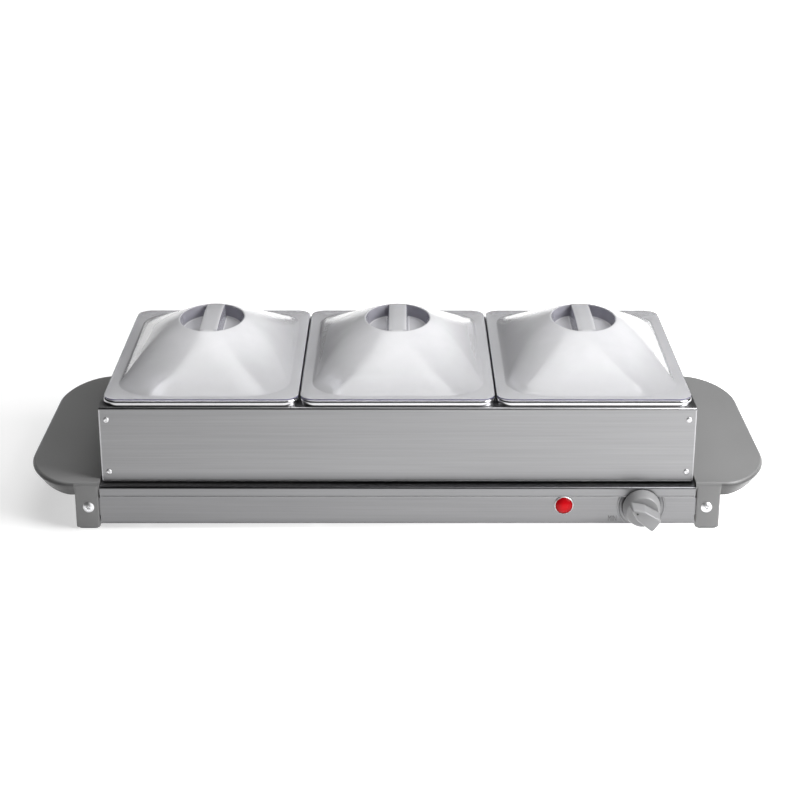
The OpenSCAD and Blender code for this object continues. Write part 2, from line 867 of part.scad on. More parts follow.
module lid(x) {
    floor_z = oval_z - recess_h;
    inside = grip_w - 2 * lid_wall;
    color("gainsboro", 0.5) placed() translate([x, 0, 0]) difference() {
        union() {
            lid_shell();
            intersection() {
                grip_bar(grip_w, 0, floor_z - 0.5);
                translate([0, 0, floor_z - 1]) linear_extrude(2 * recess_h)
                    square([grip_w + 1, 2 * oval_b + 1], center = true);
            }
        }
        intersection() {
            grip_bar(inside, lid_wall, floor_z - 5);
            block([-inside, -oval_b + 6, floor_z - 6], [inside, oval_b - 6, oval_z + 10]);
        }
    }
}

module lid_left() {
    lid(pan_xs[0]);
}

module lid_center() {
    lid(pan_xs[1]);
}

module lid_right() {
    lid(pan_xs[2]);
}

warming_plate();
front_panel();
rear_panel();
bottom_cover();
bottom_screws();
left_end_cap();
right_end_cap();
end_cap_screws();
end_cap_nuts();
foot_pads();
heating_element();
element_clamps();
heat_shield();
thermal_fuse();
fuse_clip();
thermostat_body();
thermostat_nut();
dial_plate();
indicator_lens();
indicator_bezel();
indicator_clip();
neon_lamp();
terminal_block();
earth_stud();
wiring_leads();
cord_gland();
tray_frame();
left_frame_end();
right_frame_end();
frame_rivets();
pan_left();
pan_center();
pan_right();
lid_left();
lid_center();
lid_right();
knob();
thermostat_spindle();
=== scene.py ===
"""Looks for the electric buffet server: finished meshes, materials, light and camera around the
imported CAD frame. Lengths are in metres; MM turns millimetres into metres."""
import json
import math

import bmesh
import bpy
from mathutils import Matrix, Vector
from mathutils.geometry import delaunay_2d_cdt


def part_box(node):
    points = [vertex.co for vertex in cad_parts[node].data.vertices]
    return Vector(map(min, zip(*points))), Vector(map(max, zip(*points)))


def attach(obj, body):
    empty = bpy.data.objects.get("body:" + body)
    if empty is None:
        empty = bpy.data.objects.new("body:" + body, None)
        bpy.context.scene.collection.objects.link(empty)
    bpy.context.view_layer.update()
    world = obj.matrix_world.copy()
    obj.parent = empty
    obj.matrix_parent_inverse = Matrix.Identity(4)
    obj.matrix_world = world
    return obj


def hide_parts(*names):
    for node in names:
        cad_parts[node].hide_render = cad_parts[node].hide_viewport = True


MM = 0.001
SIDES = ("left", "center", "right")
SKIRT = 12.6 * MM                   # depth of the skirt under an end moulding's wing
LEG_FACE = 279.5 * MM               # outer face of the legs, from the middle of the server

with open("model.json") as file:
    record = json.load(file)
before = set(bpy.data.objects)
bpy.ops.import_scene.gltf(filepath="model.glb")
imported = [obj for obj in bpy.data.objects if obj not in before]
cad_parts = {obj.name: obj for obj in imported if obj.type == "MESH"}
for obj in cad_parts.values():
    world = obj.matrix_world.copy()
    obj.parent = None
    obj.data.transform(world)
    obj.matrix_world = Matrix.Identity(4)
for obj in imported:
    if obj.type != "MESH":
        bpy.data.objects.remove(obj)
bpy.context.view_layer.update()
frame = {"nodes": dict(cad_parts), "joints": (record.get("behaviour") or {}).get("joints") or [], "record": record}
nodes = frame["nodes"]

# ------------------------------------------------------------------ camera, light and stage

CAMERA_AT = (0.0021, -1.6177, 0.672)
CAMERA_DOWN = 20.33                 # degrees below the horizon
CAMERA_LENS = 84.45                 # on a 36 mm sensor
STUDIO_SPANS = {"X": (-0.6, 0.7, 0.30, 1.7), "Z": (0.0, 0.5, 0.45, 1.0)}    # from, to, strengths
FLOOR_SPANS = {"X": (-0.35, 0.35, 0.52, 1.25), "Y": (0.4, 2.6, 0.0, 0.8)}
FLOOR_HALF = 6.0


def make_camera():
    data = bpy.data.cameras.new("camera")
    data.lens = CAMERA_LENS
    data.sensor_width = 36.0
    data.clip_start = 0.05
    data.clip_end = 50.0
    camera = bpy.data.objects.new("camera", data)
    camera.location = CAMERA_AT
    camera.rotation_euler = (math.radians(90 - CAMERA_DOWN), 0, 0)
    bpy.context.collection.objects.link(camera)
    bpy.context.scene.camera = camera


def area_light(name, location, target, size, power, color=(1, 1, 1)):
    data = bpy.data.lights.new(name, "AREA")
    data.shape = "RECTANGLE"
    data.size, data.size_y = size
    data.energy = power
    data.color = color
    light = bpy.data.objects.new(name, data)
    light.location = location
    direction = Vector(target) - Vector(location)
    light.rotation_euler = direction.to_track_quat("-Z", "Y").to_euler()
    bpy.context.collection.objects.link(light)


def ranged(tree, source, spans, smooth=False):
    """Maps source from the first two values of spans to the last two, and no further."""
    made = tree.nodes.new("ShaderNodeMapRange")
    if smooth:
        made.interpolation_type = "SMOOTHSTEP"
    for socket, value in zip(("From Min", "From Max", "To Min", "To Max"), spans):
        made.inputs[socket].default_value = value
    tree.links.new(source, made.inputs["Value"])
    return made.outputs["Result"]


def make_world():
    """Soft studio surround: dimmer to the left and at the height of the object, bright above."""
    world = bpy.data.worlds.new("studio")
    world.use_nodes = True
    tree = world.node_tree
    background = tree.nodes["Background"]
    coordinates = tree.nodes.new("ShaderNodeTexCoord")
    split = tree.nodes.new("ShaderNodeSeparateXYZ")
    tree.links.new(coordinates.outputs["Generated"], split.inputs["Vector"])
    product = tree.nodes.new("ShaderNodeMath")
    product.operation = "MULTIPLY"
    for factor, (axis, spans) in zip(product.inputs, STUDIO_SPANS.items()):
        tree.links.new(ranged(tree, split.outputs[axis], spans, smooth=True), factor)
    tree.links.new(product.outputs["Value"], background.inputs["Strength"])
    bpy.context.scene.world = world


# ------------------------------------------------------------------ material helpers


def color_socket(mix, name):
    """A Mix node has one socket of a name for each data type; this finds the one in use."""
    return next(s for s in mix.inputs if s.name == name and s.enabled)


def color_result(mix):
    return next(s for s in mix.outputs if s.enabled)


class Finish:
    """A Principled material with object-space procedural detail added step by step."""

    def __init__(self, name, color, roughness, metallic=0.0, **sockets):
        self.material = bpy.data.materials.new(name)
        self.material.use_nodes = True
        self.tree = self.material.node_tree
        self.shader = self.tree.nodes["Principled BSDF"]
        self.color = color
        self.shader.inputs["Base Color"].default_value = (*color, 1)
        self.shader.inputs["Roughness"].default_value = roughness
        self.shader.inputs["Metallic"].default_value = metallic
        for socket, value in sockets.items():
            self.shader.inputs[socket.replace("_", " ")].default_value = value
        self.last_bump = None

    def node(self, kind, **settings):
        made = self.tree.nodes.new(kind)
        for key, value in settings.items():
            setattr(made, key, value)
        return made

    def link(self, source, target):
        self.tree.links.new(source, target)

    def texture(self, kind, scale, stretch):
        """A procedural texture in the piece's own coordinates."""
        mapping = self.node("ShaderNodeMapping")
        mapping.inputs["Scale"].default_value = stretch
        self.link(self.node("ShaderNodeTexCoord").outputs["Object"], mapping.inputs["Vector"])
        made = self.node(kind)
        made.inputs["Scale"].default_value = scale
        self.link(mapping.outputs["Vector"], made.inputs["Vector"])
        return made

    def noise(self, scale, detail=3.0, stretch=(1, 1, 1)):
        made = self.texture("ShaderNodeTexNoise", scale, stretch)
        made.inputs["Detail"].default_value = detail
        return made.outputs["Fac"]

    def cells(self, scale, stretch=(1, 1, 1)):
        return self.texture("ShaderNodeTexVoronoi", scale, stretch).outputs["Distance"]

    def along(self, axis, kind="Object"):
        """One axis of the place on the piece, or with the kind Normal of the way its faces look."""
        split = self.node("ShaderNodeSeparateXYZ")
        self.link(self.node("ShaderNodeTexCoord").outputs[kind], split.inputs["Vector"])
        return split.outputs[axis]

    def height(self, low, high):
        """0 below low, 1 above high, measured up the piece in metres."""
        return ranged(self.tree, self.along("Z"), (low, high, 0, 1), smooth=True)

    def outward(self, near, far):
        """0 nearer the middle than near, 1 beyond far, measured along X either way."""
        return ranged(self.tree, self.math("ABSOLUTE", self.along("X"), 0.0), (near, far, 0, 1))

    def flatness(self, stops):
        """A ramp over how level a face lies: 0 is upright, 1 is level."""
        return self.ramp(self.math("ABSOLUTE", self.along("Z", "Normal"), 0.0), stops)

    def upright(self):
        """1 on faces that stand upright, 0 on level ones."""
        return self.flatness([(0.45, 1.0), (0.75, 0.0)])

    def level(self):
        """1 on faces that lie level, 0 on all others."""
        return self.flatness([(0.97, 0.0), (0.995, 1.0)])

    def math(self, operation, a, b):
        """Arithmetic on two outputs or numbers."""
        made = self.node("ShaderNodeMath", operation=operation)
        for value, socket in zip((a, b), made.inputs):
            if isinstance(value, (int, float)):
                socket.default_value = value
            else:
                self.link(value, socket)
        return made.outputs["Value"]

    def tint(self, fac, color):
        """Mixes the base colour, as it is so far, towards another colour by fac."""
        socket = self.shader.inputs["Base Color"]
        mix = self.node("ShaderNodeMix", data_type="RGBA")
        color_socket(mix, "A").default_value = socket.default_value
        if socket.links:
            self.link(socket.links[0].from_socket, color_socket(mix, "A"))
        color_socket(mix, "B").default_value = (*color, 1)
        self.link(fac, color_socket(mix, "Factor"))
        self.link(color_result(mix), socket)
        return self

    def ramp(self, fac, stops, interpolation="LINEAR"):
        """Grey values at positions along fac: [(position, value), ...]."""
        ramp = self.node("ShaderNodeValToRGB")
        ramp.color_ramp.interpolation = interpolation
        elements = ramp.color_ramp.elements
        while len(elements) < len(stops):
            elements.new(0.5)
        for element, (position, value) in zip(elements, stops):
            element.position = position
            element.color = (value, value, value, 1)
        self.link(fac, ramp.inputs["Fac"])
        return ramp.outputs["Color"]

    def vary_color(self, fac, dark, light):
        """The base colour swings between dark and light times itself."""
        mix = self.node("ShaderNodeMix", data_type="RGBA")
        color_socket(mix, "A").default_value = (*[c * dark for c in self.color], 1)
        color_socket(mix, "B").default_value = (*[min(1, c * light) for c in self.color], 1)
        self.link(fac, color_socket(mix, "Factor"))
        self.link(color_result(mix), self.shader.inputs["Base Color"])
        return self

    def vary(self, socket, fac, low, high):
        """A shader value runs from low to high with fac."""
        self.link(ranged(self.tree, fac, (0, 1, low, high)), self.shader.inputs[socket])
        return self

    def bump(self, fac, height, strength=1.0):
        """Relief of the given height in metres."""
        bump = self.node("ShaderNodeBump")
        bump.inputs["Strength"].default_value = strength
        bump.inputs["Distance"].default_value = height
        self.link(fac, bump.inputs["Height"])
        if self.last_bump:
            self.link(self.last_bump.outputs["Normal"], bump.inputs["Normal"])
        self.link(bump.outputs["Normal"], self.shader.inputs["Normal"])
        self.last_bump = bump
        return self


GRAIN_ALONG_X = (9, 700, 700)
GRAIN_ALONG_Y = (700, 9, 700)


def brushed(name, color, roughness, stretch, grain=0.00003):
    """Brushed sheet: the grain runs along the axis whose stretch is smallest."""
    finish = Finish(name, color, roughness, metallic=1.0, Anisotropic=0.5)
    fine = finish.noise(1.0, 3.0, stretch)
    broad = finish.noise(9.0, 2.0)
    finish.vary_color(fine, 0.86, 1.12)
    finish.vary("Roughness", broad, roughness - 0.04, roughness + 0.05)
    finish.bump(fine, grain, 0.6)
    return finish


def plate_steel():
    """The warming plate in a darker steel than the frame's as painted shade; the bends at its top edges are
    darkened as painted shade and its level top is lightened as painted reflection.
    """
    finish = brushed("plate_steel", (0.24, 0.24, 0.245), 0.30, GRAIN_ALONG_X)
    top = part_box("warming_plate")[1][2]
    # painted shade: the top millimetres turn dark, which stays on the bends
    finish.tint(finish.height(top - 2.2 * MM, top - 1.2 * MM), (0.11, 0.11, 0.115))
    # painted reflection: level faces are lightened
    finish.tint(finish.level(), (0.42, 0.42, 0.43))
    return finish.material


def smooth_metal(name, color, roughness, scuff=0.05, scale=60.0):
    finish = Finish(name, color, roughness, metallic=1.0)
    wear = finish.noise(scale, 5.0)
    finish.vary_color(wear, 0.94, 1.04)
    finish.vary("Roughness", wear, max(0.03, roughness - scuff), roughness + scuff)
    finish.bump(finish.noise(scale * 6, 2.0), 0.00001, 0.3)
    return finish.material


def moulded(name, color, roughness, grain=0.00006, grain_scale=1500.0, **sockets):
    """Moulded plastic with a fine spark-eroded texture."""
    finish = Finish(name, color, roughness, **sockets)
    broad = finish.noise(14.0, 3.0)
    finish.vary_color(broad, 0.94, 1.06)
    finish.vary("Roughness", broad, roughness - 0.04, roughness + 0.05)
    finish.bump(finish.noise(grain_scale, 2.0), grain, 0.35)
    return finish


def end_moulding():
    """Grey moulding whose skirt under the wings, beyond the legs, is darkened as painted shade."""
    finish = moulded("grey_moulding", (0.20, 0.20, 0.20), 0.42)
    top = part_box("left_end_cap")[1][2]
    skirt = finish.height(top - SKIRT - 1 * MM, top - SKIRT)
    beyond_legs = finish.outward(LEG_FACE - 0.1 * MM, LEG_FACE + 0.3 * MM)
    shade = finish.math("MULTIPLY", finish.upright(), finish.math("MULTIPLY", skirt, beyond_legs))
    # painted shade on the upright faces of the skirt beyond the legs
    finish.tint(shade, (0.10, 0.10, 0.10))
    return finish.material


def wall_steel(name, color, dark, foot):
    """Brushed upright sheet whose colour darkens over its lowest centimetre as painted shade."""
    finish = brushed(name, color, 0.32, GRAIN_ALONG_X)
    # painted shade: the colour is mixed up to 0.8 of the way to the dark colour at the foot of the sheet
    low = finish.math("SUBTRACT", 1.0, finish.height(foot, foot + 11 * MM))
    finish.tint(finish.math("MULTIPLY", low, 0.8), dark)
    return finish.material


def clear_lid():
    """Clear polycarbonate: milky steam haze, fine drops under the top, cut edges tinted dark violet as painted
    reflection and the grip pocket walls darkened as painted shade.
    """
    rim_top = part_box("pan_center")[1][2]
    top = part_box("lid_center")[1][2]
    finish = Finish("clear_lid", (0.88, 0.88, 0.90), 0.08, IOR=1.45)

    def times(a, b):
        return finish.math("MULTIPLY", a, b)

    def less(a):
        return finish.math("SUBTRACT", 1.0, a)

    patches = finish.noise(16.0, 4.0)
    climb = finish.height(rim_top + 4 * MM, top - 6 * MM)
    steam = finish.math("ADD", 0.18, times(climb, 0.82))
    fog = times(finish.ramp(patches, [(0.30, 0.65), (0.70, 1.0)]), steam)
    flange = less(finish.height(rim_top + 1.8 * MM, rim_top + 3.5 * MM))
    edge = times(less(finish.height(rim_top + 1.3 * MM, rim_top + 1.7 * MM)), finish.upright())
    high = finish.height(top - 15 * MM, top - 13.5 * MM)
    recess = times(finish.upright(), high)
    pocket = finish.math("MAXIMUM", recess, times(finish.level(), high))
    fog = times(fog, less(times(pocket, 0.6)))
    haze = finish.math("MAXIMUM", fog, times(flange, 0.1))
    milky = finish.math("MAXIMUM", haze, edge)
    finish.vary("Transmission Weight", milky, 0.68, 0.38)
    finish.vary("Roughness", fog, 0.10, 0.26)
    # painted reflection: the lower cut edges of the flange turn dark violet, made milky so that the colour shows
    finish.tint(edge, (0.16, 0.15, 0.27))
    # painted shade: the upright walls of the grip pockets are darkened towards grey violet
    finish.tint(times(recess, 0.6), (0.28, 0.27, 0.36))
    drops = finish.ramp(finish.cells(420.0), [(0.0, 1.0), (0.34, 0.0)], "EASE")
    under_top = finish.ramp(climb, [(0.55, 0.0), (0.95, 1.0)])
    finish.bump(times(drops, under_top), 0.0001, 0.12)
    return finish.material


def lamp_red():
    """Clear red lens: dark at its rim, lit from behind in the middle."""
    finish = Finish("lamp_red", (0.32, 0.002, 0.005), 0.25, Specular_IOR_Level=0.10)
    low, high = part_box("indicator_lens")
    middle = [(a + b) / 2 for a, b in zip(low, high)]
    coordinates = finish.node("ShaderNodeTexCoord")
    away = finish.node("ShaderNodeVectorMath", operation="DISTANCE")
    away.inputs[1].default_value = (middle[0], low[1] + 3 * MM, middle[2])
    finish.link(coordinates.outputs["Object"], away.inputs[0])
    glow = finish.ramp(finish.math("MULTIPLY", away.outputs["Value"], 1 / (8 * MM)),
                       [(0.20, 1.0), (0.90, 0.08)], "EASE")
    finish.vary("Emission Strength", glow, 0.0, 0.42)
    finish.shader.inputs["Emission Color"].default_value = (1.0, 0.012, 0.02, 1)
    finish.bump(finish.cells(700.0), 0.00015, 0.3)
    return finish.material


STEEL = (0.275, 0.275, 0.28)

MATERIALS = {
    # the second colour of each wall steel is the painted shade at its foot
    "brushed_sheet": wall_steel("brushed_sheet", STEEL, (0.17, 0.17, 0.175),
                                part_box("tray_frame")[0][2]),
    # painted shade: the base panels take a darker steel than the frame, as shade from the floor
    "panel_steel": wall_steel("panel_steel", (0.235, 0.235, 0.24), (0.17, 0.17, 0.175),
                              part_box("front_panel")[0][2] - 4 * MM),
    "brushed_ends": brushed("brushed_ends", STEEL, 0.32, GRAIN_ALONG_Y).material,
    "plate_steel": plate_steel(),
    "galvanised_sheet": smooth_metal("galvanised_sheet", (0.42, 0.43, 0.44), 0.45, 0.1, 25.0),
    "grey_moulding": end_moulding(),
    "plated_screw": smooth_metal("plated_screw", (0.92, 0.92, 0.93), 0.44, 0.05, 300.0),
    "plain_steel": smooth_metal("plain_steel", (0.80, 0.80, 0.81), 0.48, 0.06, 200.0),
    "foot_rubber": moulded("foot_rubber", (0.025, 0.025, 0.025), 0.75, 0.0001, 900.0).material,
    "element_sheath": smooth_metal("element_sheath", (0.13, 0.12, 0.11), 0.5, 0.1, 90.0),
    "shield_aluminium": smooth_metal("shield_aluminium", (0.70, 0.71, 0.72), 0.4, 0.1, 30.0),
    "ivory_plastic": moulded("ivory_plastic", (0.62, 0.57, 0.45), 0.4).material,
    "brass_fitting": smooth_metal("brass_fitting", (0.62, 0.45, 0.18), 0.3, 0.08, 200.0),
    "dial_steel": brushed("dial_steel", (0.24, 0.24, 0.245), 0.30, GRAIN_ALONG_X).material,
    "red_lens": lamp_red(),
    "neon_glass": moulded("neon_glass", (0.9, 0.4, 0.2), 0.1, Transmission_Weight=0.8).material,
    "lead_insulation": moulded("lead_insulation", (0.32, 0.05, 0.03), 0.4).material,
    "black_plastic": moulded("black_plastic", (0.02, 0.02, 0.02), 0.45).material,
    "polished_pan": smooth_metal("polished_pan", (0.60, 0.60, 0.61), 0.15, 0.05, 40.0),
    "clear_lid": clear_lid(),
    "knob_plastic": moulded("knob_plastic", (0.27, 0.27, 0.275), 0.34, 0.00003).material,
    # painted highlight: the hems and corner beads take a lighter copy of the brushed sheet
    "hem_highlight_steel": brushed("hem_highlight_steel", (0.42, 0.42, 0.43), 0.30, GRAIN_ALONG_X).material,
    "print_grey": moulded("print_grey", (0.10, 0.10, 0.10), 0.6).material,
}

# ------------------------------------------------------------------ mesh helpers


def mesh_object(name, verts, faces):
    mesh = bpy.data.meshes.new(name)
    mesh.from_pydata([tuple(v) for v in verts], [], faces)
    made = bpy.data.objects.new(name, mesh)
    bpy.context.collection.objects.link(made)
    return made


def clean(mesh, weld=0.0, sliver=0.0, outward=False):
    """Welds near vertices, drops edges shorter than a sliver, and turns the faces outward."""
    work = bmesh.new()
    work.from_mesh(mesh)
    if weld:
        bmesh.ops.remove_doubles(work, verts=work.verts, dist=weld)
        bmesh.ops.dissolve_degenerate(work, edges=work.edges, dist=sliver)
    if outward:
        bmesh.ops.recalc_face_normals(work, faces=work.faces)
    work.to_mesh(mesh)
    work.free()


def piece(name, verts, faces, body, slot, replaced=(), sharp=35.0, finish=None):
    """A finished piece from vertices and faces: outward normals, smooth but for its sharp edges."""
    made = mesh_object(name, verts, faces)
    clean(made.data, weld=1e-6, sliver=1e-7, outward=True)
    dress(made, body, slot, replaced, sharp, finish)
    return made


def dress(made, body, slot, replaced=(), sharp=35.0, finish=None):
    mesh = made.data
    mesh.shade_smooth()
    mesh.set_sharp_from_angle(angle=math.radians(sharp))
    mesh.materials.clear()
    mesh.materials.append(MATERIALS[finish or slot])
    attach(made, body)
    if replaced:
        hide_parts(*replaced)


def skin(rings, first_cap=True, last_cap=True, loop=False):
    """Faces over rings of equal length, with a cap at each end unless the rings close on themselves."""
    per = len(rings[0])
    verts = [v for ring in rings for v in ring]
    spans = len(rings) if loop else len(rings) - 1
    faces = []
    for i in range(spans):
        j = (i + 1) % len(rings)
        for k in range(per):
            n = (k + 1) % per
            faces.append((i * per + k, i * per + n, j * per + n, j * per + k))
    if first_cap and not loop:
        faces.append(tuple(reversed(range(per))))
    if last_cap and not loop:
        faces.append(tuple(range((len(rings) - 1) * per, len(rings) * per)))
    return verts, faces


def merge(*parts):
    verts, faces = [], []
    for part_verts, part_faces in parts:
        base = len(verts)
        verts += part_verts
        faces += [tuple(base + i for i in face) for face in part_faces]
    return verts, faces


def rect_ring(cx, cy, a, b, rx, ry, z, steps=12):
    """Rounded rectangle with half sizes a and b and corner radii rx and ry."""
    ring = []
    for quarter, (sx, sy) in enumerate([(1, 1), (-1, 1), (-1, -1), (1, -1)]):
        for i in range(steps + 1):
            t = math.radians(90 * (quarter + i / steps))
            ring.append(Vector((cx + sx * (a - rx) + rx * math.cos(t),
                                cy + sy * (b - ry) + ry * math.sin(t), z)))
    return ring


def turned(profile, place, steps):
    """Rings of a profile of (radius, height) turned about its axis and moved by a matrix."""
    return [[place @ Vector((r * math.cos(2 * math.pi * k / steps),
                             r * math.sin(2 * math.pi * k / steps), h))
             for k in range(steps)] for r, h in profile]


def lathe(profile, place, steps=48):
    """A solid of revolution, from a profile that runs from axis to axis."""
    return skin(turned(profile, place, steps))


def arc(cx, cy, r, start, end, steps=6):
    """Points (x, y) of an arc, in degrees."""
    return [(cx + r * math.cos(math.radians(start + (end - start) * i / steps)),
             cy + r * math.sin(math.radians(start + (end - start) * i / steps)))
            for i in range(steps + 1)]


def box_part(low, high):
    x0, y0, z0 = low
    x1, y1, z1 = high
    ring = [(x0, y0), (x1, y0), (x1, y1), (x0, y1)]
    return skin([[Vector((x, y, z)) for x, y in ring] for z in (z0, z1)])


def raw_object(name, part):
    made = mesh_object(name, *part)
    clean(made.data, outward=True)
    return made


def combine(name, start, steps):
    """Boolean steps [(operation, part), ...] on a part, as one clean object."""
    made = raw_object(name, start)
    tools = []
    for i, (operation, part) in enumerate(steps):
        tool = raw_object(f"{name}_tool_{i}", part)
        tools.append(tool)
        step = made.modifiers.new(f"step_{i}", "BOOLEAN")
        step.operation = operation
        step.solver = "EXACT"
        step.object = tool
    graph = bpy.context.evaluated_depsgraph_get()
    mesh = bpy.data.meshes.new_from_object(made.evaluated_get(graph))
    made.modifiers.clear()
    made.data = mesh
    mesh.name = name
    for tool in tools:
        bpy.data.objects.remove(tool, do_unlink=True)
    clean(mesh, weld=2e-6, sliver=1e-6)
    return made


def frame_joint(name):
    return next(j for j in frame["joints"] if j["name"] == name)


def on_front(x, z, turn=0.0):
    """Matrix for drawing on the front panel: X right, Y up, Z out towards the user."""
    face_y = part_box("front_panel")[0][1]
    return (Matrix.Translation((x, face_y, z)) @ Matrix.Rotation(math.radians(90), 4, "X")
            @ Matrix.Rotation(math.radians(turn), 4, "Z"))


# ------------------------------------------------------------------ pans


def make_pan(side):
    low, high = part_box(f"pan_{side}")
    cx, cy = (low[0] + high[0]) / 2, (low[1] + high[1]) / 2
    a, b = (high[0] - low[0]) / 2, (high[1] - low[1]) / 2
    top, floor = high[2], low[2]
    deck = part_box("tray_frame")[1][2]
    sheet, corner, mouth, foot = 0.8 * MM, 13 * MM, 8.5 * MM, 15 * MM
    roll = 2.2 * MM

    def outline(inset, radius, z):
        return rect_ring(cx, cy, a - inset, b - inset, radius, radius, z, 14)

    rings = [outline(foot + 9 * MM, 12 * MM, floor)]
    for r, z in arc(foot - sheet + 6 * MM, floor + 6 * MM, 6 * MM, -90, -180, 6):
        rings.append(outline(r, 18.8 * MM, z))
    rings.append(outline(mouth - sheet, 13.8 * MM, top - 2.6 * MM))
    rings.append(outline(mouth - 1.3 * MM, 14.4 * MM, top - sheet))
    for inset, z in arc(roll, top - roll, roll - sheet, 90, 180, 5):
        rings.append(outline(inset, corner - inset, z))
    rings.append(outline(sheet, corner - sheet, deck + 0.05 * MM))
    rings.append(outline(0.15 * MM, corner - 0.15 * MM, deck))
    rings.append(outline(0, corner, deck + 0.2 * MM))
    for inset, z in arc(roll, top - roll, roll, 180, 90, 8):
        rings.append(outline(inset, corner - inset, z))
    for inset, z in arc(mouth - 1.6 * MM, top - 1.6 * MM, 1.6 * MM, 90, 12, 5):
        rings.append(outline(inset, 13.5 * MM, z))
    rings.append(outline(foot, 18 * MM, floor + 8 * MM))
    for inset, z in arc(foot + 6 * MM, floor + sheet + 6 * MM, 6 * MM, 180, 270, 6)[1:]:
        rings.append(outline(inset, 17 * MM, z))
    rings.append(outline(foot + 9 * MM, 12 * MM, floor + sheet))
    name = f"pan_{side}"
    piece(f"{name}_pressed", *skin(rings), body=name, slot="polished_pan", replaced=[name], sharp=40)


# ------------------------------------------------------------------ lids


